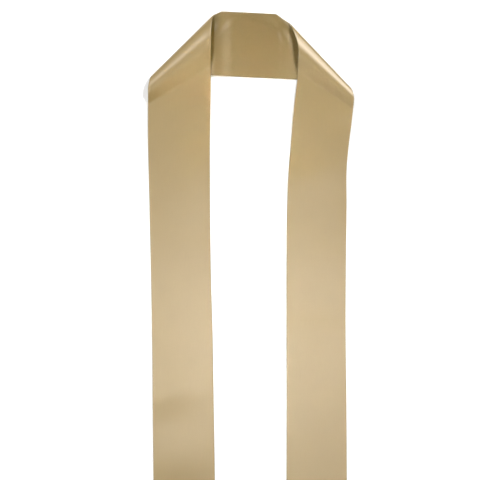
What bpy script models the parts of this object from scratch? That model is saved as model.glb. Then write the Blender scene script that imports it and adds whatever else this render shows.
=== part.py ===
"""A plain satin stole: one long straight strip of two satin layers, laid flat and folded at the shoulders.

The strip lies on the floor with its front face down across the back of the neck. At each shoulder it
rolls over on a soft diagonal fold, so that both tails lie front face up and run down side by side.
The real layers are sewn together along their edges. Here each is a wall of its own, in three
stretches: neck, left tail and right tail.

Frame: metres, +Z up, +Y towards the neck band, +X towards the right tail. The origin is on the floor
under the middle of the whole stole. Sizes are written in millimetres, and MM turns them to metres.
A level ("down") is counted from the top of the neck band towards the ends of the tails.
"""

import math
from collections import namedtuple

import bmesh
import bpy
import numpy as np

MM = 0.001

# ---- driving dimensions, in millimetres ------------------------------------------------------

STRIP_LENGTH = 1829.0  # the strip from end to end, 72 inches
LEVEL_ZERO_Y = 430.96  # where levels are counted from, a hair under the neck's top left corner
WALL = 1.0  # thickness of one satin layer
SEAM_GAP = 0.3  # clearance between neighbouring pieces

NECK_TOP_DOWN = 1.6  # level of the neck band's top edge at x = 0
NECK_WIDTH = 107.0  # across the neck band, 4.2 inches
NECK_TILT = math.radians(2.75)  # the band runs down a little to the right

# The cross-section of a fold, as arc lengths in shares of the fold's size, counted from the
# outermost point of the turn. Between these two the cloth turns over by half a circle.
TURN = (-0.24, 0.24)
# Its slope besides the turn, in shares of its steepest slope: up from the floor, over a rounded
# crest, and down to where it lies flat.
Slope = namedtuple("Slope", "arc share")
SLOPES = (
    Slope(-0.15, 0.00),
    Slope(-0.05, -1.05),
    Slope(1.36, 1.00),
    Slope(1.75, 0.00),
)
FLAT = SLOPES[-1].arc  # the arc length at which the cloth has settled
JOIN = 0.80  # the share from which an edge keeps the tail's straight course in plan

# A fold: where the strip's two edges touch the fold's outline, the size of the roll there, and
# the share up to which the edges keep the neck band's straight course in plan.
# The inner edge is the one next to the wearer's neck.
Fold = namedtuple("Fold", "side inner_x inner_down inner_size outer_x outer_down outer_size leave")
FOLDS = (
    Fold("left", -60.4, 3.6, 42.0, -164.9, 106.2, 21.0, -0.12),
    Fold("right", 62.8, 17.0, 32.0, 165.9, 125.7, 15.0, -0.17),
)

# A tail: the places of its two edges at each level.
Level = namedtuple("Level", "down inner_x outer_x")
TAILS = {
    "left": (
        Level(14.3, -65.7, -171.0),
        Level(130.5, -66.6, -170.3),
        Level(196.9, -67.7, -170.6),
        Level(313.1, -67.7, -168.2),
        Level(429.3, -66.2, -165.7),
        Level(545.5, -63.1, -163.7),
        Level(661.7, -61.3, -162.7),
        Level(776.2, -59.6, -161.5),
        Level(880.0, -58.2, -160.8),
    ),
    "right": (
        Level(30.0, 80.0, 177.5),
        Level(88.0, 78.7, 175.4),
        Level(110.6, 77.4, 174.0),
        Level(147.0, 73.0, 171.2),
        Level(180.0, 69.7, 167.7),
        Level(230.0, 65.7, 161.5),
        Level(263.0, 62.9, 158.9),
        Level(313.0, 60.6, 159.0),
        Level(412.0, 59.4, 158.0),
        Level(529.0, 59.3, 157.5),
        Level(645.0, 59.6, 158.7),
        Level(776.0, 59.3, 159.4),
        Level(880.0, 59.1, 159.8),
    ),
}

# Soft waves in the tails: each is a low ridge with its crest at (x, down), turned by an angle in
# degrees from straight across the stole. It rises to its crest over one width, on the side of the
# neck band, and falls over another.
Wave = namedtuple("Wave", "x down half_length rise fall turn height")
WAVES = (
    Wave(159.0, 200.0, 70.0, 40.0, 120.0, 4.0, 2.4),
    Wave(108.0, 266.0, 85.0, 42.0, 60.0, 27.0, 2.6),
    Wave(112.0, 528.0, 80.0, 28.0, 60.0, 0.0, 1.5),
    Wave(112.0, 808.0, 116.0, 100.0, 100.0, 0.0, 1.6),
    Wave(-80.0, 262.0, 60.0, 120.0, 110.0, -6.0, 3.4),
    Wave(-150.0, 549.0, 43.0, 100.0, 41.0, 6.0, 2.0),
    Wave(-145.0, 632.0, 86.0, 76.0, 55.0, 8.0, 2.2),
    Wave(-113.0, 733.0, 116.0, 45.0, 66.0, 0.0, 1.8),
)

STEP_START = 4.0  # a tail stays level this far past the neck band's lower edge
STEP_LENGTH = 160.0  # and comes down to the floor over this length

# ---- how finely the walls are drawn ----------------------------------------------------------

COLUMNS = 6  # quads across the strip
TURN_ROWS = 18  # sections over the turn of a fold
SETTLE_ROWS = 15  # sections from the turn to where the tail lies flat
TAIL_ROWS = 56  # sections along a tail
NECK_ROWS = 4  # sections along the neck band
SQUARING_RUN = 190.0  # length over which a tail's slanted sections come square to it
PROFILE_STEPS = 600  # steps in which a fold's cross-section is summed up
HALVINGS = 50  # steps of a search by halving
SLOPE_STEP = 0.005  # share of a fold's size over which a slope is taken
BAND_REACH = 2.0  # how far out the neck band's edges are followed, in shares of a fold corner's x
SHARP_EDGE = math.radians(40.0)  # edges that turn more than this are shaded sharp

# ---- derived sizes ---------------------------------------------------------------------------

HALF_STACK = WALL + SEAM_GAP / 2.0  # from the middle of the two layers to either outer face
STACK = 2.0 * HALF_STACK
LIFT_OVER_NECK = STACK + SEAM_GAP  # how much higher a tail lies on the neck band than on the floor
SIDES = {"left": -1.0, "right": 1.0}

# Each layer lies between two offsets from the middle of the strip, counted towards the front face.
LAYERS = {
    "front": (SEAM_GAP / 2.0, HALF_STACK),
    "back": (-HALF_STACK, -SEAM_GAP / 2.0),
}

Finish = namedtuple("Finish", "name colour roughness metallic")
FINISHES = {
    "front": Finish("champagne_satin_front", (0.483, 0.376, 0.208, 1.0), 0.34, 0.0),
    "back": Finish("champagne_satin_back", (0.462, 0.357, 0.195, 1.0), 0.36, 0.0),
}


def ease(value, start, end):
    """A smooth step from 0 to 1 as value goes from start to end; its slope is a raised cosine."""
    share = np.clip((np.asarray(value, dtype=float) - start) / (end - start), 0.0, 1.0)
    return share - np.sin(2.0 * math.pi * share) / (2.0 * math.pi)


def swell(share):
    """A smooth hump: 1 in the middle, 0 from a distance of 1 on."""
    return np.cos(0.5 * math.pi * np.clip(share, -1.0, 1.0)) ** 2


def curve_between(at, start, end):
    """A cubic through two (place, value, slope) triples, read at the places given."""
    run = end[0] - start[0]
    share = (np.asarray(at, dtype=float) - start[0]) / run
    return (
        (2 * share**3 - 3 * share**2 + 1) * start[1]
        + (share**3 - 2 * share**2 + share) * start[2] * run
        + (3 * share**2 - 2 * share**3) * end[1]
        + (share**3 - share**2) * end[2] * run
    )


def solve(function, low, high):
    """The place between low and high where a function that keeps rising or falling is nought."""
    rising = function(high) > function(low)
    for _ in range(HALVINGS):
        middle = 0.5 * (low + high)
        if (function(middle) < 0.0) == rising:
            low = middle
        else:
            high = middle
    return 0.5 * (low + high)


def fold_section():
    """The cross-section of a fold of size 1, as three arrays: arc length, distance out, height.

    The steepest slope is the one that takes the cloth back to the floor.
    """
    arc = np.linspace(TURN[0], FLAT, PROFILE_STEPS + 1)
    step = arc[1] - arc[0]

    def trace(steepest):
        angle = math.pi * ease(arc, *TURN)
        for start, end in zip(SLOPES, SLOPES[1:]):
            angle += steepest * (end.share - start.share) * ease(arc, start.arc, end.arc)
        angle = 0.5 * (angle[1:] + angle[:-1])
        out = np.concatenate(([0.0], np.cumsum(np.cos(angle)))) * step
        height = np.concatenate(([0.0], np.cumsum(np.sin(angle)))) * step
        return out - out.max(), height

    out, height = trace(solve(lambda angle: trace(angle)[1][-1], 0.0, 0.5 * math.pi))
    return arc, out, height


ARC, OUT, HEIGHT = fold_section()


def tail_edge_x(side, edge, down):
    """Where a tail's inner or outer edge is at a level, on a smooth curve through its table."""
    rows = TAILS[side]
    downs = np.array([row.down for row in rows])
    places = np.array([getattr(row, edge + "_x") for row in rows])
    slopes = np.gradient(places, downs)
    i = int(np.clip(np.searchsorted(downs, down) - 1, 0, len(rows) - 2))
    start = (downs[i], places[i], slopes[i])
    end = (downs[i + 1], places[i + 1], slopes[i + 1])
    return float(curve_between(min(max(down, downs[0]), downs[-1]), start, end))


def neck_edge_down(edge, x):
    """The level of the neck band's top (inner) or lower (outer) edge at x."""
    drop = NECK_WIDTH / math.cos(NECK_TILT) if edge == "outer" else 0.0
    return NECK_TOP_DOWN + drop + math.tan(NECK_TILT) * x


def point(x, down):
    """The plan point at x and a level."""
    return np.array([x, LEVEL_ZERO_Y - down])


class FoldLine:
    """The outline of a fold: a straight line in plan, measured along and square to it."""

    def __init__(self, fold):
        self.fold = fold
        self.side = SIDES[fold.side]
        run = point(fold.outer_x, fold.outer_down) - point(fold.inner_x, fold.inner_down)
        self.length = float(np.hypot(*run))
        self.along = run / self.length
        self.outward = self.side * np.array([-self.along[1], self.along[0]])
        # the middle of the strip turns inside the outline by half the strip's thickness
        self.start = point(fold.inner_x, fold.inner_down) - HALF_STACK * self.outward

    def place(self, along, out):
        """The plan points at distances along the outline and out from it."""
        return self.start + np.outer(along, self.along) + np.outer(out, self.outward)

    def measure(self, where):
        """How far along the outline and out from it a plan point is."""
        offset = where - self.start
        return float(offset @ self.along), float(offset @ self.outward)

    def meet(self, edge_point, low, high, out):
        """Where an edge crosses the line that lies a distance out from the outline.

        edge_point gives the edge's plan point for a value between low and high. Returns that
        value at the crossing, and the distance along the outline.
        """
        at = solve(lambda value: self.measure(edge_point(value))[1] - out, low, high)
        return at, self.measure(edge_point(at))[0]


def edge_through_fold(line, edge, shares):
    """One edge of the strip, from the neck band over a fold to where the tail settles.

    line: the fold's outline. edge: inner or outer. shares: arc lengths in shares of its size.
    Returns the edge's plan points, its heights, and the level at which the tail has settled.
    """
    fold = line.fold
    size = getattr(fold, edge + "_size")
    levels = TAILS[fold.side]

    def on_band(share):
        out = (np.interp(share, ARC, OUT) + min(share - ARC[0], 0.0)) * size
        reach = BAND_REACH * fold.outer_x
        return line.meet(lambda x: point(x, neck_edge_down(edge, x)), 0.0, reach, out)

    def on_tail(share):
        out = np.interp(share, ARC, OUT) * size
        low, high = levels[0].down, levels[-1].down
        return line.meet(
            lambda down: point(tail_edge_x(fold.side, edge, down), down), low, high, out
        )

    def slope(course, share):
        return (course(share + SLOPE_STEP)[1] - course(share - SLOPE_STEP)[1]) / (2.0 * SLOPE_STEP)

    leave, join = fold.leave, JOIN
    touch_along = 0.0 if edge == "inner" else line.length
    leave_along, join_along = on_band(leave)[1], on_tail(join)[1]
    leaving = (leave, leave_along, slope(on_band, leave))
    touching = (0.0, touch_along, (join_along - leave_along) / (join - leave))
    joining = (join, join_along, slope(on_tail, join))

    along = np.empty(len(shares))
    for i, share in enumerate(shares):
        if share <= leave:
            along[i] = on_band(share)[1]
        elif share >= join:
            along[i] = on_tail(share)[1]
        elif share < 0.0:
            along[i] = curve_between(share, leaving, touching)
        else:
            along[i] = curve_between(share, touching, joining)
    out = (np.interp(shares, ARC, OUT) + np.minimum(np.asarray(shares) - ARC[0], 0.0)) * size
    height = np.interp(shares, ARC, HEIGHT) * size
    return line.place(along, out), height, on_tail(ARC[-1])[0]


def resting_height(plan):
    """How high the middle of a tail lies over the floor where it has settled."""
    down = LEVEL_ZERO_Y - plan[..., 1]
    past_band = down - neck_edge_down("outer", plan[..., 0])
    return LIFT_OVER_NECK * (1.0 - ease(past_band, STEP_START, STEP_START + STEP_LENGTH))


def wave_height(plan):
    """The height that the soft waves add."""
    total = np.zeros(plan.shape[:-1])
    for wave in WAVES:
        offset = plan - point(wave.x, wave.down)
        turn = math.radians(wave.turn)
        along = offset[..., 0] * math.cos(turn) + offset[..., 1] * math.sin(turn)
        across = offset[..., 1] * math.cos(turn) - offset[..., 0] * math.sin(turn)
        width = np.where(across > 0.0, wave.rise, wave.fall)
        total += wave.height * swell(along / wave.half_length) * swell(across / width)
    return total


def across_strip(outer, inner):
    """Points from the strip's outer edge to its inner edge, for each section."""
    share = np.linspace(0.0, 1.0, COLUMNS + 1)
    shape = (1, COLUMNS + 1) + (1,) * (outer.ndim - 1)
    share = share.reshape(shape)
    return outer[:, None] * (1.0 - share) + inner[:, None] * share


def with_height(plan, height):
    """Points in space from plan points and the height of the strip's middle over the floor."""
    return np.concatenate((plan, (HALF_STACK + height)[..., None]), axis=-1)


def fold_sections(line):
    """The strip's middle over a fold, with the levels where its edges have settled."""
    start = TURN[0] + 0.5 * SEAM_GAP / min(line.fold.inner_size, line.fold.outer_size)
    shares = np.concatenate(
        (
            np.linspace(start, TURN[1], TURN_ROWS + 1),
            np.linspace(TURN[1], FLAT, SETTLE_ROWS + 1)[1:],
        )
    )
    outer, outer_height, outer_land = edge_through_fold(line, "outer", shares)
    inner, inner_height, inner_land = edge_through_fold(line, "inner", shares)
    plan = across_strip(outer, inner)
    height = across_strip(outer_height, inner_height)
    upper = ease(shares, 0.0, TURN[1])[:, None]
    settled = ease(shares, TURN[1], FLAT)[:, None]
    height = height + upper * resting_height(plan) + settled * wave_height(plan)
    return with_height(plan, height), outer_land, inner_land


def tail_sections(side, outer_land, inner_land, end_down):
    """The strip's middle along a tail, from where it has settled to its end."""
    outer_down = np.linspace(outer_land, end_down, TAIL_ROWS + 1)[1:]
    slant = 1.0 - ease(outer_down - outer_land, 0.0, SQUARING_RUN)
    inner_down = outer_down - (outer_land - inner_land) * slant
    outer = np.array([point(tail_edge_x(side, "outer", down), down) for down in outer_down])
    inner = np.array([point(tail_edge_x(side, "inner", down), down) for down in inner_down])
    plan = across_strip(outer, inner)
    return with_height(plan, resting_height(plan) + wave_height(plan))


def neck_end(line):
    """The neck band's slanted end at a fold: its outer and inner corners in plan."""
    share = TURN[0] - 0.5 * SEAM_GAP / min(line.fold.inner_size, line.fold.outer_size)
    outer = edge_through_fold(line, "outer", [share])[0][0]
    inner = edge_through_fold(line, "inner", [share])[0][0]
    return outer, inner


def neck_sections(left_line, right_line):
    """The strip's middle along the neck band, flat on the floor."""
    left_outer, left_inner = neck_end(left_line)
    right_outer, right_inner = neck_end(right_line)
    share = np.linspace(0.0, 1.0, NECK_ROWS + 1)[:, None]
    outer = left_outer * (1.0 - share) + right_outer * share
    inner = left_inner * (1.0 - share) + right_inner * share
    plan = across_strip(outer, inner)
    return with_height(plan, np.zeros(plan.shape[:-1]))


def middle_length(sections):
    """The length of a stretch along the middle of the strip."""
    middle = sections[:, COLUMNS // 2]
    return float(np.linalg.norm(np.diff(middle, axis=0), axis=1).sum())


def tail_end_down(line, neck, fold_part, outer_land, inner_land):
    """The level at which half the strip's length is used up, from the middle of the neck."""
    used = 0.5 * middle_length(neck) + middle_length(fold_part)
    return 0.5 * (outer_land + inner_land) + 0.5 * STRIP_LENGTH - used


def wall(name, sections, heading, layer):
    """One closed wall of cloth as an object.

    sections: the strip's middle, a row of points for each section. heading: 1 where the sections
    run along the neck band towards +X, -1 where they run towards -X; the front face is down
    there. layer: front or back.
    """
    along = np.gradient(sections, axis=0)
    across = np.gradient(sections, axis=1)
    front = -heading * np.cross(along, across)
    front /= np.linalg.norm(front, axis=2, keepdims=True)
    low, high = LAYERS[layer]
    mesh = bpy.data.meshes.new(name)
    shape = bmesh.new()
    faces = []
    for offset in (low, high):
        points = (sections + offset * front) * MM
        faces.append([[shape.verts.new(place) for place in row] for row in points])
    rows, columns = sections.shape[0] - 1, sections.shape[1] - 1
    for grid in faces:
        for i in range(rows):
            for j in range(columns):
                shape.faces.new((grid[i][j], grid[i + 1][j], grid[i + 1][j + 1], grid[i][j + 1]))
    lower, upper = faces
    rim = [(i, 0) for i in range(rows)] + [(rows, j) for j in range(columns)]
    rim += [(i, columns) for i in range(rows, 0, -1)] + [(0, j) for j in range(columns, 0, -1)]
    for (i, j), (k, m) in zip(rim, rim[1:] + rim[:1]):
        shape.faces.new((lower[i][j], lower[k][m], upper[k][m], upper[i][j]))
    bmesh.ops.recalc_face_normals(shape, faces=shape.faces)
    shape.to_mesh(mesh)
    shape.free()
    mesh.shade_smooth()
    mesh.set_sharp_from_angle(angle=SHARP_EDGE)
    mesh.materials.append(satin(FINISHES[layer]))
    made = bpy.data.objects.new(name, mesh)
    bpy.context.scene.collection.objects.link(made)
    return made


def satin(finish):
    """The material of one layer, made once."""
    material = bpy.data.materials.get(finish.name)
    if material is None:
        material = bpy.data.materials.new(finish.name)
        material.use_nodes = True
        shader = material.node_tree.nodes["Principled BSDF"]
        shader.inputs["Base Color"].default_value = finish.colour
        shader.inputs["Roughness"].default_value = finish.roughness
        shader.inputs["Metallic"].default_value = finish.metallic
    return material


def main():
    for old in list(bpy.data.objects):
        bpy.data.objects.remove(old, do_unlink=True)
    lines = {fold.side: FoldLine(fold) for fold in FOLDS}
    neck = neck_sections(lines["left"], lines["right"])
    for layer in LAYERS:
        wall(f"neck_{layer}", neck, SIDES["right"], layer)
    for side, line in lines.items():
        fold_part, outer_land, inner_land = fold_sections(line)
        end_down = tail_end_down(line, neck, fold_part, outer_land, inner_land)
        tail_part = tail_sections(side, outer_land, inner_land, end_down)
        sections = np.concatenate((fold_part, tail_part))
        for layer in LAYERS:
            wall(f"{side}_tail_{layer}", sections, SIDES[side], layer)


if __name__ == "__main__":
    main()
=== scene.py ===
"""A plain satin stole laid flat: the cloth as it looks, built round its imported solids.

The stole is one long straight tube of champagne satin: a front strip and a back strip, sewn
together along their edges and turned. It lies on the floor with its front down across the back of
the neck. At each shoulder it rolls over on a soft diagonal fold, so that both tails lie front up,
side by side.

Sizes are in millimetres and are turned to metres when a mesh is made. +Z is up, +Y runs towards the
neck band and +X towards the right tail. A level ("down") is counted from the top of the neck band
towards the ends of the tails.
"""

from __future__ import annotations

import logging
import math
from dataclasses import dataclass, field
from enum import Enum
from typing import Callable

import bpy
import numpy as np
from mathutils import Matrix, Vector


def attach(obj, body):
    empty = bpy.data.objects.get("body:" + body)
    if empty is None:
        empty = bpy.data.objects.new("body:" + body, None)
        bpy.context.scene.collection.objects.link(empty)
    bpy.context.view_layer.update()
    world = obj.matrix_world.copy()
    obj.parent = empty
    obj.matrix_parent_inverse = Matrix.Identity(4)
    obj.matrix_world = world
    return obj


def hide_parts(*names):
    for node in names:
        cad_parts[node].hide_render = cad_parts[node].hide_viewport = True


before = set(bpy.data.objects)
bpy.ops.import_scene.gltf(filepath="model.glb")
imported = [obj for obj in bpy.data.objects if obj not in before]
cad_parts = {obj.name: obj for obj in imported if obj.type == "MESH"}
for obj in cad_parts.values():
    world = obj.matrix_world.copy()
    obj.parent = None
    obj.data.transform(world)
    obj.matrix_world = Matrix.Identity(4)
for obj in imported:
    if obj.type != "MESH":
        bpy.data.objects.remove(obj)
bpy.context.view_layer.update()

LOG = logging.getLogger("stole")
MM = 0.001
CLOTH_MAP = "cloth"

Places = np.ndarray
Nodes = bpy.types.NodeTree


class Side(Enum):
    """A side of the stole, as seen from above: its value is the sign of x there."""

    LEFT = -1.0
    RIGHT = 1.0


class Edge(Enum):
    """A long edge of the strip: the inner one lies next to the neck."""

    INNER = "inner"
    OUTER = "outer"


class Layer(Enum):
    """One of the two layers of the strip: its value is the way its face points from the middle."""

    FRONT = 1.0
    BACK = -1.0


# ---- small tools of shape ----


def ease(value: float | Places, start: float, end: float) -> Places:
    """A smooth step whose slope is a raised cosine.

    Args:
        value: where it is read.
        start: where it leaves 0.
        end: where it reaches 1.

    Returns:
        The height of the step at each value.
    """
    share = np.clip((np.asarray(value, dtype=float) - start) / (end - start), 0.0, 1.0)
    return share - np.sin(2.0 * math.pi * share) / (2.0 * math.pi)


def swell(share: Places) -> Places:
    """A smooth hump: 1 in the middle, 0 from a distance of 1 on."""
    return np.cos(0.5 * math.pi * np.clip(share, -1.0, 1.0)) ** 2


def curve_between(
    at: float, start: tuple[float, float, float], end: tuple[float, float, float]
) -> float:
    """A cubic between two (place, value, slope) triples.

    Args:
        at: the place where it is read.
        start: the triple that it leaves.
        end: the triple that it reaches.

    Returns:
        The value at that place.
    """
    run = end[0] - start[0]
    share = (at - start[0]) / run
    return (
        (2 * share**3 - 3 * share**2 + 1) * start[1]
        + (share**3 - 2 * share**2 + share) * start[2] * run
        + (3 * share**2 - 2 * share**3) * end[1]
        + (share**3 - share**2) * end[2] * run
    )


def solve(function: Callable[[float], float], low: float, high: float, halvings: int = 50) -> float:
    """Finds where a function that keeps rising or falling is nought.

    Args:
        function: the function.
        low: one end of the search.
        high: the other end.
        halvings: how many times the search is halved.

    Returns:
        The place between low and high.
    """
    rising = function(high) > function(low)
    for _ in range(halvings):
        middle = 0.5 * (low + high)
        if (function(middle) < 0.0) == rising:
            low = middle
        else:
            high = middle
    return 0.5 * (low + high)


# ---- the course of the strip ----


@dataclass(frozen=True)
class Fold:
    """Where the strip's two edges touch a fold's outline, and the size of the roll there.

    The corner of the neck band is rounded off from an arc length before the outermost point.
    """

    inner_x: float
    inner_down: float
    inner_size: float
    outer_x: float
    outer_down: float
    outer_size: float
    leave: float


@dataclass(frozen=True)
class Level:
    """The places of a tail's two edges at one level."""

    down: float
    inner_x: float
    outer_x: float


@dataclass(frozen=True)
class Wave:
    """A low ridge whose crest is turned by degrees from straight across.

    It rises to its crest over one width, on the side of the neck band, and falls over another.
    """

    x: float
    down: float
    half_length: float
    rise: float
    fall: float
    turn: float
    height: float

    def height_at(self, x: Places, down: Places) -> Places:
        """How much the wave raises the cloth.

        Args:
            x: the places from left to right.
            down: their levels.

        Returns:
            The height that it adds there.
        """
        turn = math.radians(self.turn)
        right, up = x - self.x, self.down - down
        along = right * math.cos(turn) + up * math.sin(turn)
        across = up * math.cos(turn) - right * math.sin(turn)
        width = np.where(across > 0.0, self.rise, self.fall)
        return self.height * swell(along / self.half_length) * swell(across / width)


@dataclass(frozen=True)
class Bulge:
    """How the neck band stands off the floor between the folds, by x and the level under its top.

    It rises out from under the left tail, falls softly to its middle and stands up a little once
    more before the right tail. A faint arched ridge runs from the middle of its top edge down both
    sides. Each slope is a start and an end by x, and the height that it adds between them.
    """

    slopes: tuple[tuple[float, float, float], ...] = (
        (-80.0, -56.0, 2.7),
        (-56.0, -24.0, -2.1),
        (45.0, 53.0, 0.6),
        (53.0, 84.0, -1.2),
    )
    apex_x: float = -7.0
    apex_down: float = 1.0
    bend_left: float = 0.0133  # how fast the arch comes down: its drop over the run squared
    bend_right: float = 0.0093
    arch: float = 0.8  # how high the ridge stands
    arch_half_width: float = 11.0
    arch_fade: tuple[float, float] = (35.0, 75.0)  # it dies away between these distances down

    def height_at(self, x: Places, below: Places) -> Places:
        """How high the band stands off the floor.

        Args:
            x: the places from left to right.
            below: the distances under the band's top edge.

        Returns:
            The height there.
        """
        total = sum(rise * ease(x, start, end) for start, end, rise in self.slopes)
        inner = ease(x, *self.slopes[0][:2]) * (1.0 - ease(x, *self.slopes[-1][:2]))
        run = x - self.apex_x
        bend = np.where(run < 0.0, self.bend_left, self.bend_right)
        arch = self.apex_down + bend * run**2
        inside = (below - arch) / np.sqrt(1.0 + (2.0 * bend * run) ** 2)
        ridge = swell(inside / self.arch_half_width) * (1.0 - ease(below, *self.arch_fade))
        return np.maximum(total + self.arch * inner * ridge, 0.0)


@dataclass(frozen=True)
class Roll:
    """The cross-section of a fold of size 1: the cloth turns over, droops, and settles flat again.

    Arc lengths are counted from the outermost point of the turn. Each slope is an arc length and
    the share of the droop there. In plan an edge keeps the tail's own course from the join on.
    """

    turn: tuple[float, float] = (-0.24, 0.24)
    slopes: tuple[tuple[float, float], ...] = (
        (-0.15, 0.0),
        (-0.05, -1.05),
        (1.36, 1.0),
        (1.75, 0.0),
    )
    join: float = 0.80
    steps: int = 600

    def trace(self, droop: float) -> tuple[Places, Places]:
        """The section for one angle of droop.

        Args:
            droop: the angle by which the cloth points down after its turn, in radians.

        Returns:
            The distances out from the outermost point, and the heights.
        """
        arc = self.arc
        angle = math.pi * ease(arc, *self.turn)
        for (start, before), (end, after) in zip(self.slopes, self.slopes[1:]):
            angle = angle + droop * (after - before) * ease(arc, start, end)
        angle = 0.5 * (angle[1:] + angle[:-1])
        step = arc[1] - arc[0]
        out = np.concatenate(([0.0], np.cumsum(np.cos(angle)))) * step
        height = np.concatenate(([0.0], np.cumsum(np.sin(angle)))) * step
        return out - out.max(), height

    @property
    def arc(self) -> Places:
        """The arc lengths at which the section is summed up."""
        return np.linspace(self.turn[0], self.end, self.steps + 1)

    @property
    def end(self) -> float:
        """The arc length at which the cloth lies flat again."""
        return self.slopes[-1][0]

    def section(self) -> tuple[Places, Places, Places]:
        """The section that ends on the floor.

        Returns:
            Its arc lengths, distances out and heights.
        """
        droop = solve(lambda angle: self.trace(angle)[1][-1], 0.0, 0.5 * math.pi)
        return self.arc, *self.trace(droop)


@dataclass(frozen=True)
class Course:
    """The middle surface of the strip as it lies, in the sizes of the solids, more finely drawn.

    The waves are in the solids too. The creases are too shallow for them, and stand here alone.
    """

    strip_length: float = 1829.0
    level_zero_y: float = 430.96
    wall: float = 1.0
    seam_gap: float = 0.3
    neck_top_down: float = 1.6  # level of the neck band's top edge at x = 0
    neck_width: float = 107.0
    neck_tilt: float = math.radians(2.75)  # the band runs down a little to the right
    step_start: float = 4.0  # a tail stays level this far past the neck band's lower edge
    step_length: float = 160.0  # and comes down to the floor over this length
    squaring_run: float = 190.0  # length over which a tail's slanted rows come square to it
    slope_step: float = 0.005  # share of a fold's size over which a slope is taken
    band_reach: float = 2.0  # the band's edges are followed out to this many times a corner's x
    turn_rows: int = 60
    settle_rows: int = 60
    tail_rows: int = 250
    neck_rows: int = 100
    roll: Roll = Roll()
    folds: dict[Side, Fold] = field(
        default_factory=lambda: {
            Side.LEFT: Fold(-60.4, 3.6, 42.0, -164.9, 106.2, 21.0, -0.12),
            Side.RIGHT: Fold(62.8, 17.0, 32.0, 165.9, 125.7, 15.0, -0.17),
        }
    )
    tails: dict[Side, tuple[Level, ...]] = field(
        default_factory=lambda: {
            Side.LEFT: (
                Level(14.3, -65.7, -171.0),
                Level(130.5, -66.6, -170.3),
                Level(196.9, -67.7, -170.6),
                Level(313.1, -67.7, -168.2),
                Level(429.3, -66.2, -165.7),
                Level(545.5, -63.1, -163.7),
                Level(661.7, -61.3, -162.7),
                Level(776.2, -59.6, -161.5),
                Level(880.0, -58.2, -160.8),
            ),
            Side.RIGHT: (
                Level(30.0, 80.0, 177.5),
                Level(88.0, 78.7, 175.4),
                Level(110.6, 77.4, 174.0),
                Level(147.0, 73.0, 171.2),
                Level(180.0, 69.7, 167.7),
                Level(230.0, 65.7, 161.5),
                Level(263.0, 62.9, 158.9),
                Level(313.0, 60.6, 159.0),
                Level(412.0, 59.4, 158.0),
                Level(529.0, 59.3, 157.5),
                Level(645.0, 59.6, 158.7),
                Level(776.0, 59.3, 159.4),
                Level(880.0, 59.1, 159.8),
            ),
        }
    )
    waves: tuple[Wave, ...] = (
        Wave(159.0, 200.0, 70.0, 40.0, 120.0, 4.0, 2.4),
        Wave(108.0, 266.0, 85.0, 42.0, 60.0, 27.0, 2.6),
        Wave(112.0, 528.0, 80.0, 28.0, 60.0, 0.0, 1.5),
        Wave(112.0, 808.0, 116.0, 100.0, 100.0, 0.0, 1.6),
        Wave(-80.0, 262.0, 60.0, 120.0, 110.0, -6.0, 3.4),
        Wave(-150.0, 549.0, 43.0, 100.0, 41.0, 6.0, 2.0),
        Wave(-145.0, 632.0, 86.0, 76.0, 55.0, 8.0, 2.2),
        Wave(-113.0, 733.0, 116.0, 45.0, 66.0, 0.0, 1.8),
    )
    creases: tuple[Wave, ...] = (
        Wave(119.0, 398.0, 60.0, 20.0, 83.0, 0.0, 0.55),
        Wave(131.0, 632.0, 27.0, 15.0, 20.0, 0.0, 0.4),
        Wave(-78.0, 247.0, 40.0, 60.0, 66.0, 0.0, 0.6),
        Wave(-108.0, 394.0, 100.0, 20.0, 80.0, 0.0, 0.4),
    )
    bulge: Bulge = Bulge()

    @property
    def half_stack(self) -> float:
        """From the middle of the strip to the outer face of either layer."""
        return self.wall + 0.5 * self.seam_gap

    def tail_edge_x(self, side: Side, edge: Edge, down: float) -> float:
        """Where an edge of a tail is.

        Args:
            side: which tail.
            edge: which of its edges.
            down: the level.

        Returns:
            Its x, on a smooth curve through the tail's table.
        """
        rows = self.tails[side]
        downs = np.array([row.down for row in rows])
        places = np.array([getattr(row, f"{edge.value}_x") for row in rows])
        slopes = np.gradient(places, downs)
        i = int(np.clip(np.searchsorted(downs, down) - 1, 0, len(rows) - 2))
        start = (downs[i], places[i], slopes[i])
        end = (downs[i + 1], places[i + 1], slopes[i + 1])
        return float(curve_between(min(max(down, downs[0]), downs[-1]), start, end))

    def neck_edge_down(self, edge: Edge, x: float | Places) -> float | Places:
        """The level of an edge of the neck band.

        Args:
            edge: the top edge is the inner one.
            x: where it is read.

        Returns:
            The level there.
        """
        drop = self.neck_width / math.cos(self.neck_tilt) if edge is Edge.OUTER else 0.0
        return self.neck_top_down + drop + math.tan(self.neck_tilt) * x

    def point(self, x: float, down: float) -> Places:
        """The plan point at x and a level."""
        return np.array([x, self.level_zero_y - down])

    def tail_point(self, side: Side, edge: Edge, down: float) -> Places:
        """The plan point of a tail's edge at a level."""
        return self.point(self.tail_edge_x(side, edge, down), down)

    def resting_height(self, plan: Places) -> Places:
        """How high the middle of a settled tail lies over where it would lie on the floor.

        Args:
            plan: plan points.

        Returns:
            The height at each.
        """
        past_band = self.level_zero_y - plan[..., 1] - self.neck_edge_down(Edge.OUTER, plan[..., 0])
        over_neck = 2.0 * self.half_stack + self.seam_gap + self.band_height(plan)
        end = self.step_start + self.step_length
        return over_neck * (1.0 - ease(past_band, self.step_start, end))

    def band_height(self, plan: Places) -> Places:
        """How high the neck band stands off the floor.

        Args:
            plan: plan points.

        Returns:
            The height at each.
        """
        top = self.neck_edge_down(Edge.INNER, plan[..., 0])
        return self.bulge.height_at(plan[..., 0], self.level_zero_y - plan[..., 1] - top)

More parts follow.
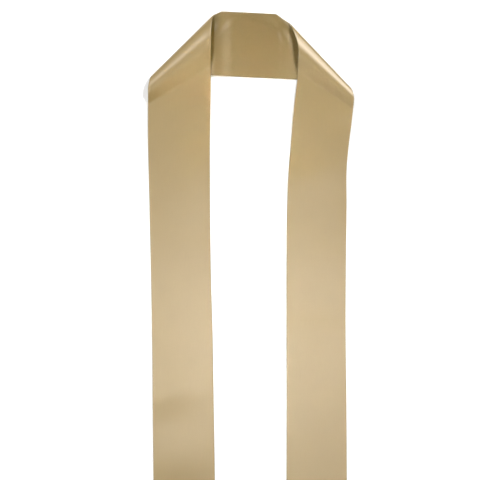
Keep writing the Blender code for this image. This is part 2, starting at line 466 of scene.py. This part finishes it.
    def wave_height(self, plan: Places) -> Places:
        """The height that waves and creases add, never under the floor.

        Args:
            plan: plan points.

        Returns:
            The height at each.
        """
        x, down = plan[..., 0], self.level_zero_y - plan[..., 1]
        total = np.zeros(plan.shape[:-1])
        for wave in self.waves + self.creases:
            total += wave.height_at(x, down)
        return np.maximum(total, 0.0)


@dataclass(frozen=True)
class FoldLine:
    """The outline of a fold: a straight line in plan, measured along and square to it."""

    course: Course
    side: Side

    @property
    def fold(self) -> Fold:
        """The fold's own row of sizes."""
        return self.course.folds[self.side]

    @property
    def run(self) -> Places:
        """From the inner to the outer end of the outline."""
        fold, point = self.fold, self.course.point
        return point(fold.outer_x, fold.outer_down) - point(fold.inner_x, fold.inner_down)

    @property
    def length(self) -> float:
        """The length of the outline."""
        return float(np.hypot(*self.run))

    @property
    def along(self) -> Places:
        """The unit direction of the outline."""
        return self.run / self.length

    @property
    def outward(self) -> Places:
        """The unit direction that points out of the stole."""
        along = self.along
        return self.side.value * np.array([-along[1], along[0]])

    @property
    def start(self) -> Places:
        """Where the middle of the strip turns at the inner end."""
        fold, course = self.fold, self.course
        return course.point(fold.inner_x, fold.inner_down) - course.half_stack * self.outward

    def place(self, along: Places, out: Places) -> Places:
        """The plan points at distances along the outline and out from it."""
        return self.start + np.outer(along, self.along) + np.outer(out, self.outward)

    def measure(self, where: Places) -> tuple[float, float]:
        """How far along the outline and out from it a plan point is."""
        offset = where - self.start
        return float(offset @ self.along), float(offset @ self.outward)

    def meet(
        self, edge_point: Callable[[float], Places], low: float, high: float, out: float
    ) -> tuple[float, float]:
        """Where an edge crosses the line that lies a distance out from the outline.

        Args:
            edge_point: gives the edge's plan point for a value.
            low: the lowest value.
            high: the highest value.
            out: the distance out.

        Returns:
            The value at the crossing, and the distance along the outline.
        """
        at = solve(lambda value: self.measure(edge_point(value))[1] - out, low, high)
        return at, self.measure(edge_point(at))[0]

    def edge(self, edge: Edge, shares: Places) -> tuple[Places, Places, float]:
        """One edge of the strip, from the neck band over the fold to where the tail settles.

        Args:
            edge: which edge.
            shares: arc lengths in shares of the fold's size.

        Returns:
            The edge's plan points, its heights, and the level at which the tail has settled.
        """
        course, fold, roll = self.course, self.fold, self.course.roll
        size = getattr(fold, f"{edge.value}_size")
        arc, out_at, height_at = roll.section()
        levels = course.tails[self.side]

        def on_band(share: float) -> tuple[float, float]:
            """Where the edge is while it follows the neck band.

            Args:
                share: the arc length.

            Returns:
                The x there, and the distance along the outline.
            """
            out = (np.interp(share, arc, out_at) + min(share - arc[0], 0.0)) * size
            reach = course.band_reach * fold.outer_x
            return self.meet(
                lambda x: course.point(x, course.neck_edge_down(edge, x)), 0.0, reach, out
            )

        def on_tail(share: float) -> tuple[float, float]:
            """Where the edge is once it follows the tail.

            Args:
                share: the arc length.

            Returns:
                The level there, and the distance along the outline.
            """
            out = np.interp(share, arc, out_at) * size
            low, high = levels[0].down, levels[-1].down
            return self.meet(lambda down: course.tail_point(self.side, edge, down), low, high, out)

        def slope(way: Callable[[float], tuple[float, float]], share: float) -> float:
            """How fast the edge runs along the outline at an arc length."""
            step = course.slope_step
            return (way(share + step)[1] - way(share - step)[1]) / (2.0 * step)

        leave, join = fold.leave, roll.join
        touch_along = 0.0 if edge is Edge.INNER else self.length
        leave_along, join_along = on_band(leave)[1], on_tail(join)[1]
        leaving = (leave, leave_along, slope(on_band, leave))
        touching = (0.0, touch_along, (join_along - leave_along) / (join - leave))
        joining = (join, join_along, slope(on_tail, join))

        along = np.empty(len(shares))
        for i, share in enumerate(shares):
            if share <= leave:
                along[i] = on_band(share)[1]
            elif share >= join:
                along[i] = on_tail(share)[1]
            elif share < 0.0:
                along[i] = curve_between(share, leaving, touching)
            else:
                along[i] = curve_between(share, touching, joining)
        out = (np.interp(shares, arc, out_at) + np.minimum(np.asarray(shares) - arc[0], 0.0)) * size
        height = np.interp(shares, arc, height_at) * size
        return self.place(along, out), height, on_tail(arc[-1])[0]


@dataclass
class Strip:
    """The strip's middle surface as one grid, from the left tail's end to the right tail's end."""

    course: Course
    columns: Places  # shares of the width, from the outer edge to the inner one

    def across(self, outer: Places, inner: Places) -> Places:
        """Rows of points or heights from the outer edge to the inner one.

        Args:
            outer: what is at the outer edge, for each row.
            inner: what is at the inner edge.

        Returns:
            The grid between them.
        """
        share = self.columns.reshape((1, -1) + (1,) * (outer.ndim - 1))
        return outer[:, None] * (1.0 - share) + inner[:, None] * share

    def raised(self, plan: Places, height: Places) -> Places:
        """Points in space from plan points and the height of the strip's middle over the floor."""
        return np.concatenate((plan, (self.course.half_stack + height)[..., None]), axis=-1)

    def fold_part(self, line: FoldLine) -> tuple[Places, float, float]:
        """The strip over a fold.

        Args:
            line: the fold's outline.

        Returns:
            The grid, and the levels at which the outer and the inner edge have settled.
        """
        course, roll = self.course, self.course.roll
        shares = np.concatenate(
            (
                np.linspace(*roll.turn, course.turn_rows + 1),
                np.linspace(roll.turn[1], roll.end, course.settle_rows + 1)[1:],
            )
        )
        outer, outer_height, outer_land = line.edge(Edge.OUTER, shares)
        inner, inner_height, inner_land = line.edge(Edge.INNER, shares)
        plan = self.across(outer, inner)
        height = self.across(outer_height, inner_height)
        upper = ease(shares, 0.0, roll.turn[1])[:, None]
        settled = ease(shares, roll.turn[1], roll.end)[:, None]
        height = height + upper * course.resting_height(plan) + settled * course.wave_height(plan)
        height = height + (1.0 - upper) * course.band_height(plan)
        return self.raised(plan, height), outer_land, inner_land

    def tail_part(
        self, side: Side, outer_land: float, inner_land: float, end_down: float
    ) -> Places:
        """The strip along a tail, from where it has settled to its end.

        Args:
            side: which tail.
            outer_land: the level at which its outer edge has settled.
            inner_land: the level at which its inner edge has settled.
            end_down: the level of its end.

        Returns:
            The grid, without its first row, which ends the fold.
        """
        course = self.course
        outer_down = np.linspace(outer_land, end_down, course.tail_rows + 1)[1:]
        slant = 1.0 - ease(outer_down - outer_land, 0.0, course.squaring_run)
        inner_down = outer_down - (outer_land - inner_land) * slant
        outer = np.array([course.tail_point(side, Edge.OUTER, down) for down in outer_down])
        inner = np.array([course.tail_point(side, Edge.INNER, down) for down in inner_down])
        plan = self.across(outer, inner)
        return self.raised(plan, course.resting_height(plan) + course.wave_height(plan))

    def neck_part(self, left: Places, right: Places) -> Places:
        """The neck band between the rows at which the two folds begin, without those rows.

        Args:
            left: the left fold's first row.
            right: the right fold's first row.

        Returns:
            The grid.
        """
        share = np.linspace(0.0, 1.0, self.course.neck_rows + 1)[1:-1, None, None]
        plan = (left[None] * (1.0 - share) + right[None] * share)[..., :2]
        return self.raised(plan, self.course.band_height(plan))

    def length(self, part: Places) -> float:
        """The length of a part along the middle of the strip."""
        middle = part[:, np.argmin(np.abs(self.columns - 0.5))]
        return float(np.linalg.norm(np.diff(middle, axis=0), axis=1).sum())

    def grid(self) -> Places:
        """The whole strip.

        Returns:
            Its points, a row for each section, in millimetres.
        """
        course = self.course
        folds = {side: self.fold_part(FoldLine(course, side)) for side in Side}
        neck = self.neck_part(folds[Side.LEFT][0][0], folds[Side.RIGHT][0][0])
        sides = {}
        for side, (part, outer_land, inner_land) in folds.items():
            used = 0.5 * self.length(neck) + self.length(part)
            end_down = 0.5 * (outer_land + inner_land) + 0.5 * course.strip_length - used
            tail = self.tail_part(side, outer_land, inner_land, end_down)
            sides[side] = np.concatenate((part, tail))
        return np.concatenate((sides[Side.LEFT][::-1], neck, sides[Side.RIGHT]))


# ---- finishes ----


def linear(colour: str) -> tuple[float, float, float, float]:
    """Turns an sRGB hex colour to the linear values that a shader takes.

    Args:
        colour: six hex digits after a #.

    Returns:
        Red, green, blue and 1.
    """
    parts = [int(colour[i : i + 2], 16) / 255.0 for i in (1, 3, 5)]
    low = [part / 12.92 for part in parts]
    high = [((part + 0.055) / 1.055) ** 2.4 for part in parts]
    return (*[h if part > 0.04045 else w for part, w, h in zip(parts, low, high)], 1.0)


def add(tree: Nodes, kind: str, links: dict | None = None, **settings: object) -> bpy.types.Node:
    """Adds a node to a tree.

    Args:
        tree: the tree.
        kind: the node's type.
        links: what goes into each input, by its name or number: a socket, or a constant.
        settings: the node's own properties.

    Returns:
        The node.
    """
    node = tree.nodes.new(kind)
    for key, value in settings.items():
        setattr(node, key, value)
    for key, value in (links or {}).items():
        if isinstance(value, bpy.types.NodeSocket):
            tree.links.new(value, node.inputs[key])
        else:
            node.inputs[key].default_value = value
    return node


def blank(name: str) -> tuple[bpy.types.Material, Nodes]:
    """Makes a material whose tree is empty.

    Args:
        name: the material's name.

    Returns:
        The material and its tree.
    """
    made = bpy.data.materials.new(name)
    made.use_nodes = True
    made.node_tree.nodes.clear()
    return made, made.node_tree


def bumped(tree: Nodes, pattern: bpy.types.NodeSocket, depth: float) -> bpy.types.NodeSocket:
    """Raises a surface by a pattern.

    Args:
        tree: the material's tree.
        pattern: its height, from 0 to 1.
        depth: how high a 1 stands, in millimetres.

    Returns:
        The socket that gives the raised surface's normal.
    """
    return add(tree, "ShaderNodeBump", {"Height": pattern, "Distance": depth * MM}).outputs[0]


def coat(tree: Nodes, look: dict, **settings: object) -> None:
    """Ends a material's tree with its shader.

    Args:
        tree: the material's tree.
        look: what goes into each of the shader's inputs.
        settings: the shader's own properties.
    """
    shader = add(tree, "ShaderNodeBsdfPrincipled", look, **settings)
    add(tree, "ShaderNodeOutputMaterial", {"Surface": shader.outputs["BSDF"]})


def placed(name: str, data: bpy.types.ID) -> bpy.types.Object:
    """Adds an object to the scene.

    Args:
        name: its name.
        data: its mesh, light or camera.

    Returns:
        The object.
    """
    made = bpy.data.objects.new(name, data)
    bpy.context.scene.collection.objects.link(made)
    return made


@dataclass(frozen=True)
class Satin:
    """Polyester satin, woven with long floats along the strip.

    The floats spread light across the strip and hardly along it, which gives the eye a broad soft
    gloss that fades as the cloth turns away along its length. Pattern sizes are in millimetres.
    """

    name: str
    colour: str
    shade: str
    roughness: float = 0.495
    anisotropic: float = 0.694
    ior: float = 2.35
    specular: float = 0.5
    gloss: str = "#fff3e6"
    sheen: float = 0.08
    sheen_roughness: float = 0.4
    thread: float = 0.9  # the real floats are about 0.1 apart, drawn coarser so that they show
    float_length: float = 22.0
    float_roughness: float = 0.6
    detail: float = 2.0
    slub: float = 60.0
    tone: tuple[float, float] = (0.6, 1.4)  # sums of the two patterns at shade and at full colour
    bump: float = 0.012
    quarter_turn: float = 0.25  # turns the wide spread of light from along the floats to across

    def material(self) -> bpy.types.Material:
        """Builds the material.

        Returns:
            A material that reads the piece's own UV map, which is in metres along and across.
        """
        made, tree = blank(self.name)
        uv = add(tree, "ShaderNodeUVMap", uv_map=CLOTH_MAP)
        threads = add(
            tree,
            "ShaderNodeMapping",
            {
                "Vector": uv.outputs["UV"],
                "Scale": (1.0 / (self.float_length * MM), 1.0 / (self.thread * MM), 1.0),
            },
        )
        floats = add(
            tree,
            "ShaderNodeTexNoise",
            {
                "Vector": threads.outputs["Vector"],
                "Scale": 1.0,
                "Detail": self.detail,
                "Roughness": self.float_roughness,
            },
        )
        cloud = add(
            tree,
            "ShaderNodeTexNoise",
            {"Vector": uv.outputs["UV"], "Scale": 1.0 / (self.slub * MM), "Detail": self.detail},
        )
        both = {0: floats.outputs["Fac"], 1: cloud.outputs["Fac"]}
        mixed = add(tree, "ShaderNodeMath", both, operation="ADD")
        tone = add(
            tree,
            "ShaderNodeMapRange",
            {"Value": mixed.outputs[0], "From Min": self.tone[0], "From Max": self.tone[1]},
        )
        floats_run = add(tree, "ShaderNodeTangent", direction_type="UV_MAP", uv_map=CLOTH_MAP)
        look = {
            "Base Color": self.blend(tree, tone.outputs["Result"]),
            "Roughness": self.roughness,
            "IOR": self.ior,
            "Specular IOR Level": self.specular,
            "Specular Tint": linear(self.gloss),
            "Anisotropic": self.anisotropic,
            "Anisotropic Rotation": self.quarter_turn,
            "Tangent": floats_run.outputs["Tangent"],
            "Normal": bumped(tree, floats.outputs["Fac"], self.bump),
            "Sheen Weight": self.sheen,
            "Sheen Roughness": self.sheen_roughness,
            "Sheen Tint": linear(self.colour),
        }
        coat(tree, look, distribution="GGX")
        return made

    def blend(self, tree: Nodes, factor: bpy.types.NodeSocket) -> bpy.types.NodeSocket:
        """A colour between the shade and the face colour.

        Args:
            tree: the material's tree.
            factor: from 0 for the shade to 1 for the face colour.

        Returns:
            The socket that gives it.
        """
        node = add(tree, "ShaderNodeMix", data_type="RGBA")
        tree.links.new(factor, node.inputs[0])
        node.inputs[6].default_value = linear(self.shade)
        node.inputs[7].default_value = linear(self.colour)
        return node.outputs[2]


@dataclass(frozen=True)
class Thread:
    """Polyester sewing thread, dyed to match: twisted, with a soft gloss."""

    name: str
    colour: str
    roughness: float = 0.5
    ply: float = 0.25
    relief: float = 0.02

    def material(self) -> bpy.types.Material:
        """Builds the material, with the twist of the plies as faint bands.

        Returns:
            A material that reads the piece's own coordinates.
        """
        made, tree = blank(self.name)
        place = add(tree, "ShaderNodeTexCoord")
        twist = add(
            tree,
            "ShaderNodeTexWave",
            {"Vector": place.outputs["Object"], "Scale": 1.0 / (self.ply * MM), "Distortion": 1.0},
            bands_direction="DIAGONAL",
        )
        look = {
            "Base Color": linear(self.colour),
            "Roughness": self.roughness,
            "Normal": bumped(tree, twist.outputs["Fac"], self.relief),
        }
        coat(tree, look)
        return made


@dataclass(frozen=True)
class Board:
    """A matt white board under the stole."""

    name: str = "matt_white_board"
    colour: str = "#fcfcfc"
    roughness: float = 0.8
    specular: float = 0.1
    grain: float = 3.0
    relief: float = 0.02

    def material(self) -> bpy.types.Material:
        """Builds the material, with a faint grain.

        Returns:
            A material that reads the board's own coordinates.
        """
        made, tree = blank(self.name)
        place = add(tree, "ShaderNodeTexCoord")
        grain = add(
            tree,
            "ShaderNodeTexNoise",
            {"Vector": place.outputs["Object"], "Scale": 1.0 / (self.grain * MM)},
        )
        look = {
            "Base Color": linear(self.colour),
            "Roughness": self.roughness,
            "Specular IOR Level": self.specular,
            "Normal": bumped(tree, grain.outputs["Fac"], self.relief),
        }
        coat(tree, look)
        return made


# ---- the sewn tube ----


@dataclass
class SatinTube:
    """The stole itself: a front and a back strip of satin that meet in a seam all round.

    Between the seams each strip stands off the middle by half the thickness of the solids. Towards
    an edge it comes down to the seam on a small round, as a turned and pressed seam does.
    """

    course: Course
    finishes: dict[Layer, Satin]
    names: dict[Layer, str] = field(
        default_factory=lambda: {Layer.FRONT: "front_strip", Layer.BACK: "back_strip"}
    )
    cloth: float = 0.4  # how thick one strip is
    seam: float = 0.12  # half the gap between the strips at the seam
    edge_round: float = 2.6  # radius of the turned edge
    edge_columns: int = 7
    edge_crowding: float = 1.6  # above 1 the columns crowd towards the seam
    inner_columns: int = 34
    width: float = 101.6

    def column_shares(self) -> Places:
        """Where the columns stand across the strip, closer together on the turned edges.

        Returns:
            Shares of the width, from 0 to 1.
        """
        steps = np.linspace(0.0, 1.0, self.edge_columns + 1) ** self.edge_crowding
        edge = steps * self.edge_round / self.width
        middle = np.linspace(edge[-1], 1.0 - edge[-1], self.inner_columns + 1)[1:-1]
        return np.concatenate((edge, middle, 1.0 - edge[::-1]))

    def normals(self, grid: Places) -> Places:
        """The direction of the front face at each point of a grid."""
        front = -np.cross(np.gradient(grid, axis=0), np.gradient(grid, axis=1))
        return front / np.linalg.norm(front, axis=2, keepdims=True)

    def run(self, grid: Places) -> Places:
        """How far along the strip each row of a grid is."""
        steps = np.linalg.norm(np.diff(grid, axis=0), axis=2).mean(axis=1)
        return np.concatenate(([0.0], np.cumsum(steps)))

    def fullness(self, grid: Places) -> Places:
        """How far each point stands off the seam, from 0 on an edge to 1 inside.

        Args:
            grid: the strip's middle.

        Returns:
            A share for each point.
        """
        across = self.column_shares() * self.width
        from_side = np.minimum(across, self.width - across)[None, :]
        run = self.run(grid)
        from_end = np.minimum(run, run[-1] - run)[:, None]
        near = np.minimum(from_side, from_end) / self.edge_round
        return np.sqrt(1.0 - (1.0 - np.clip(near, 0.0, 1.0)) ** 2)

    def unwrap(self, mesh: bpy.types.Mesh, grid: Places) -> None:
        """Gives a strip its UV map, in metres along and across.

        Args:
            mesh: the strip's mesh, with the points of its outer face and then its inner face.
            grid: the middle of the tube, in millimetres.
        """
        along = self.run(grid) * MM
        across = self.column_shares() * self.width * MM
        flat = np.stack(np.broadcast_arrays(along[:, None], across[None, :]), axis=-1)
        flat = flat.reshape(-1, 2)
        corners = np.empty(len(mesh.loops), dtype=np.int64)
        mesh.loops.foreach_get("vertex_index", corners)
        places = mesh.uv_layers.new(name=CLOTH_MAP)
        places.data.foreach_set("uv", flat[corners % len(flat)].ravel())

    def build(self, layer: Layer, grid: Places) -> bpy.types.Object:
        """Makes one strip as a thin closed shell.

        Args:
            layer: which strip.
            grid: the middle of the tube, in millimetres.

        Returns:
            The strip as an object, with its UV map and its finish.
        """
        rows, columns = grid.shape[:2]
        normal = self.normals(grid) * layer.value
        rise = self.course.half_stack - self.seam - self.cloth
        inside = self.seam + rise * self.fullness(grid)[..., None]
        faces_out = grid + normal * (inside + self.cloth)
        faces_in = grid + normal * inside
        points = np.concatenate((faces_out.reshape(-1, 3), faces_in.reshape(-1, 3))) * MM

        index = np.arange(rows * columns).reshape(rows, columns)
        quads = np.stack(
            (index[:-1, :-1], index[:-1, 1:], index[1:, 1:], index[1:, :-1]), axis=-1
        ).reshape(-1, 4)
        if layer is Layer.BACK:
            quads = quads[:, ::-1]
        inner = quads[:, ::-1] + rows * columns
        rim = np.concatenate((index[:-1, 0], index[-1, :-1], index[:0:-1, -1], index[0, :0:-1]))
        nearby = np.roll(rim, -1)
        sides = np.stack((rim, nearby, nearby + rows * columns, rim + rows * columns), axis=-1)
        if layer is Layer.BACK:
            sides = sides[:, ::-1]
        faces = np.concatenate((quads, inner, sides))

        mesh = bpy.data.meshes.new(self.names[layer])
        mesh.from_pydata(points.tolist(), [], faces.tolist())
        self.unwrap(mesh, grid)
        mesh.shade_smooth()
        mesh.materials.append(self.finishes[layer].material())
        mesh.validate()
        return placed(self.names[layer], mesh)


@dataclass
class SeamStitches:
    """The machine stitches that join the two strips, seen in the groove of the turned edge."""

    finish: Thread
    name: str = "seam_stitches"
    pitch: float = 2.6  # from one stitch to the next
    thickness: float = 0.26
    reach: float = 1.9  # the length of one stitch
    inset: float = 0.35  # how far inside the edge the stitches lie
    inward_column: int = 3  # the grid's column that tells which way is inwards
    least: float = 0.001  # under this distance a point has no inward way, and stays
    bead_sides: int = 6
    bead_rings: int = 4
    smallest: tuple[float, float, float] = (0.85, 0.9, 0.9)  # shares of a stitch's size
    largest: tuple[float, float, float] = (1.1, 1.1, 1.1)
    seed: int = 7

    def path(self, grid: Places) -> bpy.types.Object:
        """The line of the seam as a closed wire, just inside the strip's edges.

        Args:
            grid: the middle of the tube, in millimetres.

        Returns:
            An object with the wire as its mesh.
        """
        outer, inner = grid[:, 0], grid[::-1, -1]
        start, end = grid[0, ::-1][1:-1], grid[-1, 1:-1]
        ring = np.concatenate((outer, end, inner, start))
        column = self.inward_column
        centre = np.concatenate((grid[:, column], end, grid[::-1, -column - 1], start))
        inward = centre - ring
        size = np.linalg.norm(inward, axis=1, keepdims=True)
        share = np.where(size > self.least, self.inset / np.maximum(size, self.least), 0.0)
        ring = (ring + inward * share) * MM
        count = len(ring)
        mesh = bpy.data.meshes.new(self.name)
        edges = [(i, (i + 1) % count) for i in range(count)]
        mesh.from_pydata(ring.tolist(), edges, [])
        return placed(self.name, mesh)

    def tree(self) -> Nodes:
        """Builds the node tree that lays a row of stitches along a wire.

        Returns:
            The tree, with named inputs for its sizes.
        """
        tree = bpy.data.node_groups.new("row_of_stitches", "GeometryNodeTree")
        face = tree.interface
        face.new_socket("Geometry", in_out="INPUT", socket_type="NodeSocketGeometry")
        for name in ("Pitch", "Thickness", "Reach"):
            face.new_socket(name, in_out="INPUT", socket_type="NodeSocketFloat")
        face.new_socket("Thread", in_out="INPUT", socket_type="NodeSocketMaterial")
        face.new_socket("Geometry", in_out="OUTPUT", socket_type="NodeSocketGeometry")
        given = add(tree, "NodeGroupInput")
        curve = add(tree, "GeometryNodeMeshToCurve", {"Mesh": given.outputs["Geometry"]})
        spaced = add(
            tree,
            "GeometryNodeResampleCurve",
            {"Curve": curve.outputs[0], "Length": given.outputs["Pitch"]},
            mode="LENGTH",
        )
        bead = add(
            tree,
            "GeometryNodeMeshUVSphere",
            {"Segments": self.bead_sides, "Rings": self.bead_rings, "Radius": 0.5},
        )
        tangent = add(tree, "GeometryNodeInputTangent")
        turn = add(
            tree, "FunctionNodeAlignRotationToVector", {"Vector": tangent.outputs[0]}, axis="X"
        )
        size = add(
            tree,
            "ShaderNodeCombineXYZ",
            {
                "X": given.outputs["Reach"],
                "Y": given.outputs["Thickness"],
                "Z": given.outputs["Thickness"],
            },
        )
        jitter = add(
            tree,
            "FunctionNodeRandomValue",
            {"Min": self.smallest, "Max": self.largest, "Seed": self.seed},
            data_type="FLOAT_VECTOR",
        )
        scale = add(
            tree,
            "ShaderNodeVectorMath",
            {0: size.outputs[0], 1: jitter.outputs[0]},
            operation="MULTIPLY",
        )
        laid = add(
            tree,
            "GeometryNodeInstanceOnPoints",
            {
                "Points": spaced.outputs[0],
                "Instance": bead.outputs["Mesh"],
                "Rotation": turn.outputs[0],
                "Scale": scale.outputs[0],
            },
        )
        real = add(tree, "GeometryNodeRealizeInstances", {"Geometry": laid.outputs[0]})
        dressed = add(
            tree,
            "GeometryNodeSetMaterial",
            {"Geometry": real.outputs[0], "Material": given.outputs["Thread"]},
        )
        add(tree, "NodeGroupOutput", {0: dressed.outputs[0]})
        return tree

    def build(self, grid: Places) -> bpy.types.Object:
        """Lays the stitches and makes them a plain mesh.

        Args:
            grid: the middle of the tube, in millimetres.

        Returns:
            The stitches as an object.
        """
        wire = self.path(grid)
        tree = self.tree()
        modifier = wire.modifiers.new("stitches", "NODES")
        modifier.node_group = tree
        sizes = {
            "Pitch": self.pitch * MM,
            "Thickness": self.thickness * MM,
            "Reach": self.reach * MM,
            "Thread": self.finish.material(),
        }
        for socket in tree.interface.items_tree:
            if socket.in_out == "INPUT" and socket.name in sizes:
                modifier[socket.identifier] = sizes[socket.name]
        seen = wire.evaluated_get(bpy.context.evaluated_depsgraph_get())
        mesh = bpy.data.meshes.new_from_object(seen)
        wire.modifiers.clear()
        bare = wire.data
        wire.data = mesh
        bpy.data.meshes.remove(bare)
        mesh.name = self.name
        mesh.shade_smooth()
        return wire


# ---- floor, light and camera ----


@dataclass(frozen=True)
class SoftBox:
    """A square soft light that points at the stole. Sizes are in metres, power in watts."""

    name: str
    place: tuple[float, float, float]
    target: tuple[float, float, float]
    size: tuple[float, float]
    power: float
    spread: float = 180.0  # in degrees: less where a honeycomb grid narrows the light
    colour: str = "#ffffff"

    def build(self) -> None:
        """Hangs the light."""
        data = bpy.data.lights.new(self.name, "AREA")
        data.shape = "RECTANGLE"
        data.size, data.size_y = self.size
        data.energy = self.power
        data.spread = math.radians(self.spread)
        data.color = linear(self.colour)[:3]
        made = placed(self.name, data)
        made.location = self.place
        way = np.subtract(self.target, self.place)
        made.rotation_mode = "QUATERNION"
        made.rotation_quaternion = Vector(way).to_track_quat("-Z", "Y")


@dataclass
class Studio:
    """A pale board, soft light and a camera straight above, as the stole was photographed.

    Sizes are in metres. The frame is the part of the board that the photograph shows.
    """

    frame_width: float = 0.7968
    centre: tuple[float, float] = (-0.0178, 0.0524)
    height: float = 5.0
    sensor: float = 36.0  # in millimetres
    sight: float = 50.0  # how far the camera sees
    board_half: float = 4.0
    world: str = "#ffffff"
    world_strength: float = 0.05
    lights: tuple[SoftBox, ...] = (
        SoftBox("key", (0.35, -0.2, 2.6), (0.0, -0.11, 0.0), (0.24, 0.24), 0.29, 18.0),
        SoftBox(
            "neck_key", (0.6, -1.3, 2.2), (0.0, 0.28, 0.0), (0.12, 0.12), 0.085, 6.5, "#fff0c4"
        ),
        SoftBox("front_fill", (-1.2, -1.8, 1.6), (0.0, 0.2, 0.0), (0.6, 0.6), 12.0),
        SoftBox("top_right_softbox", (1.33, 1.53, 1.8), (0.13, 0.33, 0.0), (0.4, 0.4), 56.0),
        SoftBox("top_left_softbox", (-1.0, 1.3, 2.1), (-0.13, 0.33, 0.0), (0.4, 0.4), 22.0),
        SoftBox("left_fill", (-2.3, -0.3, 1.7), (0.0, 0.0, 0.0), (0.8, 0.8), 44.0),
        SoftBox("right_fill", (2.3, -0.3, 1.7), (0.0, 0.0, 0.0), (0.8, 0.8), 29.0),
    )

    def build_camera(self) -> None:
        """Sets the camera straight above the stole, with the photograph's frame."""
        data = bpy.data.cameras.new("camera")
        data.sensor_width = self.sensor
        data.lens = self.sensor * self.height / self.frame_width
        data.clip_end = self.sight
        made = placed("camera", data)
        made.location = (*self.centre, self.height)
        bpy.context.scene.camera = made

    def build_board(self) -> None:
        """Lays the board under the stole."""
        half = self.board_half
        mesh = bpy.data.meshes.new("board")
        corners = [(-half, -half, 0.0), (half, -half, 0.0), (half, half, 0.0), (-half, half, 0.0)]
        mesh.from_pydata(corners, [], [(0, 1, 2, 3)])
        mesh.materials.append(Board().material())
        made = placed("board", mesh)

    def build_world(self) -> None:
        """Gives the room its even light."""
        world = bpy.data.worlds.new("room")
        world.use_nodes = True
        shade = world.node_tree.nodes["Background"]
        shade.inputs["Color"].default_value = linear(self.world)
        shade.inputs["Strength"].default_value = self.world_strength
        bpy.context.scene.world = world

    def build(self) -> None:
        """Sets up the whole studio."""
        scene = bpy.context.scene
        scene.view_settings.view_transform = "Standard"
        self.build_camera()
        self.build_board()
        self.build_world()
        for light in self.lights:
            light.build()


@dataclass
class Stole:
    """The whole stole: its course, its two strips and its seams."""

    course: Course = field(default_factory=Course)
    front: Satin = Satin("champagne_satin_face", "#826b2e", "#7a6428")
    # the back strip is the same satin as the front; its darker colour and darker tone are painted
    # shade that darkens the neck band, where the back strip lies on top
    back: Satin = Satin("champagne_satin_back_painted_shade", "#725f27", "#6b5822")
    thread: Thread = Thread("matching_thread", "#a08c60")

    def build(self) -> None:
        """Makes every piece, hangs it under the root and hides the solids that it stands in for."""
        tube = SatinTube(self.course, {Layer.FRONT: self.front, Layer.BACK: self.back})
        grid = Strip(self.course, tube.column_shares()).grid()
        strips = {layer: tube.build(layer, grid) for layer in Layer}
        stitches = SeamStitches(self.thread).build(grid)
        front, back = strips[Layer.FRONT], strips[Layer.BACK]
        for piece in (front, back, stitches):
            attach(piece, "root")
        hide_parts("neck_front", "left_tail_front", "right_tail_front")
        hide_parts("neck_back", "left_tail_back", "right_tail_back")
        for piece in (front, back, stitches):
            LOG.info("%s: %d faces", piece.name, len(piece.data.polygons))


def main() -> None:
    """Builds the studio and the stole."""
    logging.basicConfig(level=logging.INFO, format="%(name)s: %(message)s")
    Studio().build()
    Stole().build()


if __name__ == "__main__":
    main()
